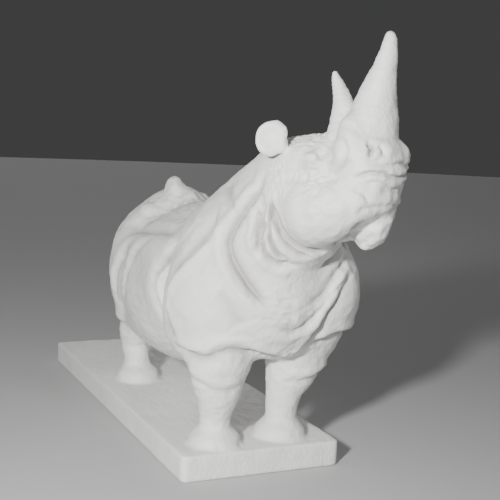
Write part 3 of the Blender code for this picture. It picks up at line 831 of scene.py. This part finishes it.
class Graph:
    """Short names for making and joining a material's nodes."""

    def __init__(self, name):
        self.material = bpy.data.materials.new(name)
        self.material.use_nodes = True
        self.nodes = self.material.node_tree.nodes
        self.links = self.material.node_tree.links
        self.shader = self.nodes["Principled BSDF"]
        self.place = self.nodes.new("ShaderNodeTexCoord").outputs["Object"]

    def join(self, source, target):
        self.links.new(source, target)

    def stretched(self, scale):
        node = self.nodes.new("ShaderNodeMapping")
        node.inputs["Scale"].default_value = scale
        self.join(self.place, node.inputs["Vector"])
        return node.outputs["Vector"]

    def noise(self, scale, detail=3.0, place=None, roughness=0.5):
        node = self.nodes.new("ShaderNodeTexNoise")
        node.inputs["Scale"].default_value = scale
        node.inputs["Detail"].default_value = detail
        node.inputs["Roughness"].default_value = roughness
        self.join(place or self.place, node.inputs["Vector"])
        return node.outputs["Fac"]

    def ramp(self, value, *stops):
        node = self.nodes.new("ShaderNodeValToRGB")
        for element, (position, colour) in zip(node.color_ramp.elements, stops):
            element.position = position
            element.color = colour
        self.join(value, node.inputs["Fac"])
        return node.outputs["Color"]

    def span(self, value, low, high, to_low=0.0, to_high=1.0):
        node = self.nodes.new("ShaderNodeMapRange")
        for name, number in (("From Min", low), ("From Max", high), ("To Min", to_low), ("To Max", to_high)):
            node.inputs[name].default_value = number
        self.join(value, node.inputs["Value"])
        return node.outputs["Result"]

    def blend(self, share, first, second, kind="MIX"):
        node = self.nodes.new("ShaderNodeMix")
        node.data_type = "RGBA"
        node.blend_type = kind
        for name, given in (("Factor", share), ("A", first), ("B", second)):
            socket = next(s for s in node.inputs if s.name == name and s.enabled)
            if isinstance(given, (int, float, tuple)):
                socket.default_value = given
            else:
                self.join(given, socket)
        return next(s for s in node.outputs if s.enabled)

    def bump(self, height, distance, strength, under=None):
        node = self.nodes.new("ShaderNodeBump")
        node.inputs["Distance"].default_value = distance
        node.inputs["Strength"].default_value = strength
        self.join(height, node.inputs["Height"])
        if under:
            self.join(under, node.inputs["Normal"])
        return node.outputs["Normal"]


def plaster_material():
    """White casting plaster: fine grain, brush marks, pinholes and painted shade that darkens the grooves.

    Noise scales count lumps along a metre, and bump distances are metres.
    """
    graph = Graph("plaster")
    clouds = graph.noise(28.0, 5.0)
    colour = graph.ramp(clouds, (0.3, PLASTER_SHADE), (0.7, PLASTER_PALE))
    groove = graph.nodes.new("ShaderNodeAttribute")
    groove.attribute_name = "groove"
    # Painted shade: the deeper the groove, the darker the colour, standing in for the shadow in the creases
    crease_shade = graph.span(groove.outputs["Fac"], 0.6, 4.5, 0.0, 0.75)
    colour = graph.blend(crease_shade, colour, PAINTED_CREASE_SHADE)
    pits = graph.nodes.new("ShaderNodeTexVoronoi")
    pits.inputs["Scale"].default_value = 140.0
    graph.join(graph.place, pits.inputs["Vector"])
    holes = graph.span(pits.outputs["Distance"], 0.06, 0.13)
    graph.join(colour, graph.shader.inputs["Base Color"])
    graph.join(graph.span(graph.noise(90.0), 0.3, 0.7, 0.46, 0.66), graph.shader.inputs["Roughness"])
    graph.shader.inputs["Specular IOR Level"].default_value = 0.45
    brushed = graph.noise(300.0, 4.0, graph.stretched((0.35, 1.0, 0.8)))
    normal = graph.bump(graph.noise(900.0, 2.0), 0.0004, 0.5)
    normal = graph.bump(brushed, 0.0014, 0.5, normal)
    normal = graph.bump(holes, 0.0006, 0.6, normal)
    graph.join(normal, graph.shader.inputs["Normal"])
    return graph.material


def make_camera():
    """The photograph's own view, fitted to the slab's visible corners."""
    azimuth, elevation, roll = (math.radians(a) for a in (CAMERA_AZIMUTH, CAMERA_ELEVATION, CAMERA_ROLL))
    right = Vector((math.cos(azimuth), math.sin(azimuth), 0.0))
    back = Vector((math.sin(azimuth) * math.cos(elevation), -math.cos(azimuth) * math.cos(elevation),
                   math.sin(elevation)))
    up = back.cross(right)
    across = math.cos(roll) * right + math.sin(roll) * up
    upward = math.cos(roll) * up - math.sin(roll) * right
    camera = bpy.data.cameras.new("camera")
    camera.sensor_width = CAMERA_FILM
    camera.lens = CAMERA_LENS
    obj = bpy.data.objects.new("camera", camera)
    bpy.context.scene.collection.objects.link(obj)
    turned = Matrix((across, upward, back)).transposed().to_4x4()
    obj.matrix_world = Matrix.Translation(CAMERA_PLACE) @ turned
    bpy.context.scene.camera = obj


def area_light(name, place, target, size, power):
    """A disc of light at a place, turned to its target."""
    light = bpy.data.lights.new(name, "AREA")
    light.shape = "DISK"
    light.size = size
    light.energy = power
    obj = bpy.data.objects.new(name, light)
    bpy.context.scene.collection.objects.link(obj)
    obj.location = place
    obj.rotation_mode = "QUATERNION"
    obj.rotation_quaternion = (Vector(target) - Vector(place)).to_track_quat("-Z", "Y")


def sun(name, source, angle, strength):
    """Even light from the direction of source, as soft as a disc this many degrees wide."""
    light = bpy.data.lights.new(name, "SUN")
    light.angle = math.radians(angle)
    light.energy = strength
    obj = bpy.data.objects.new(name, light)
    bpy.context.scene.collection.objects.link(obj)
    obj.rotation_mode = "QUATERNION"
    obj.rotation_quaternion = Vector(source).to_track_quat("Z", "Y")


def make_floor():
    bm = bmesh.new()
    bmesh.ops.create_circle(bm, cap_ends=True, segments=96, radius=FLOOR_RADIUS)
    mesh = bpy.data.meshes.new("floor")
    bm.to_mesh(mesh)
    bm.free()
    floor = bpy.data.objects.new("floor", mesh)
    bpy.context.scene.collection.objects.link(floor)
    paint = bpy.data.materials.new("floor")
    paint.use_nodes = True
    shader = paint.node_tree.nodes["Principled BSDF"]
    shader.inputs["Base Color"].default_value = FLOOR_GREY
    shader.inputs["Roughness"].default_value = FLOOR_ROUGHNESS
    mesh.materials.append(paint)


def make_lights():
    world = bpy.data.worlds.new("studio")
    bpy.context.scene.world = world
    world.use_nodes = True
    background = world.node_tree.nodes["Background"]
    background.inputs["Color"].default_value = WORLD_GREY
    background.inputs["Strength"].default_value = WORLD_STRENGTH
    area_light("key", KEY_PLACE, KEY_TARGET, KEY_SIZE, KEY_POWER)
    for name, source, strength in FILLS:
        sun(name, source, FILL_ANGLE, strength)


lay(CARVING)
rhinoceros = make_piece()
rhinoceros.data.materials.append(plaster_material())
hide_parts(NODE)
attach(rhinoceros, "root")
make_floor()
make_lights()
make_camera()
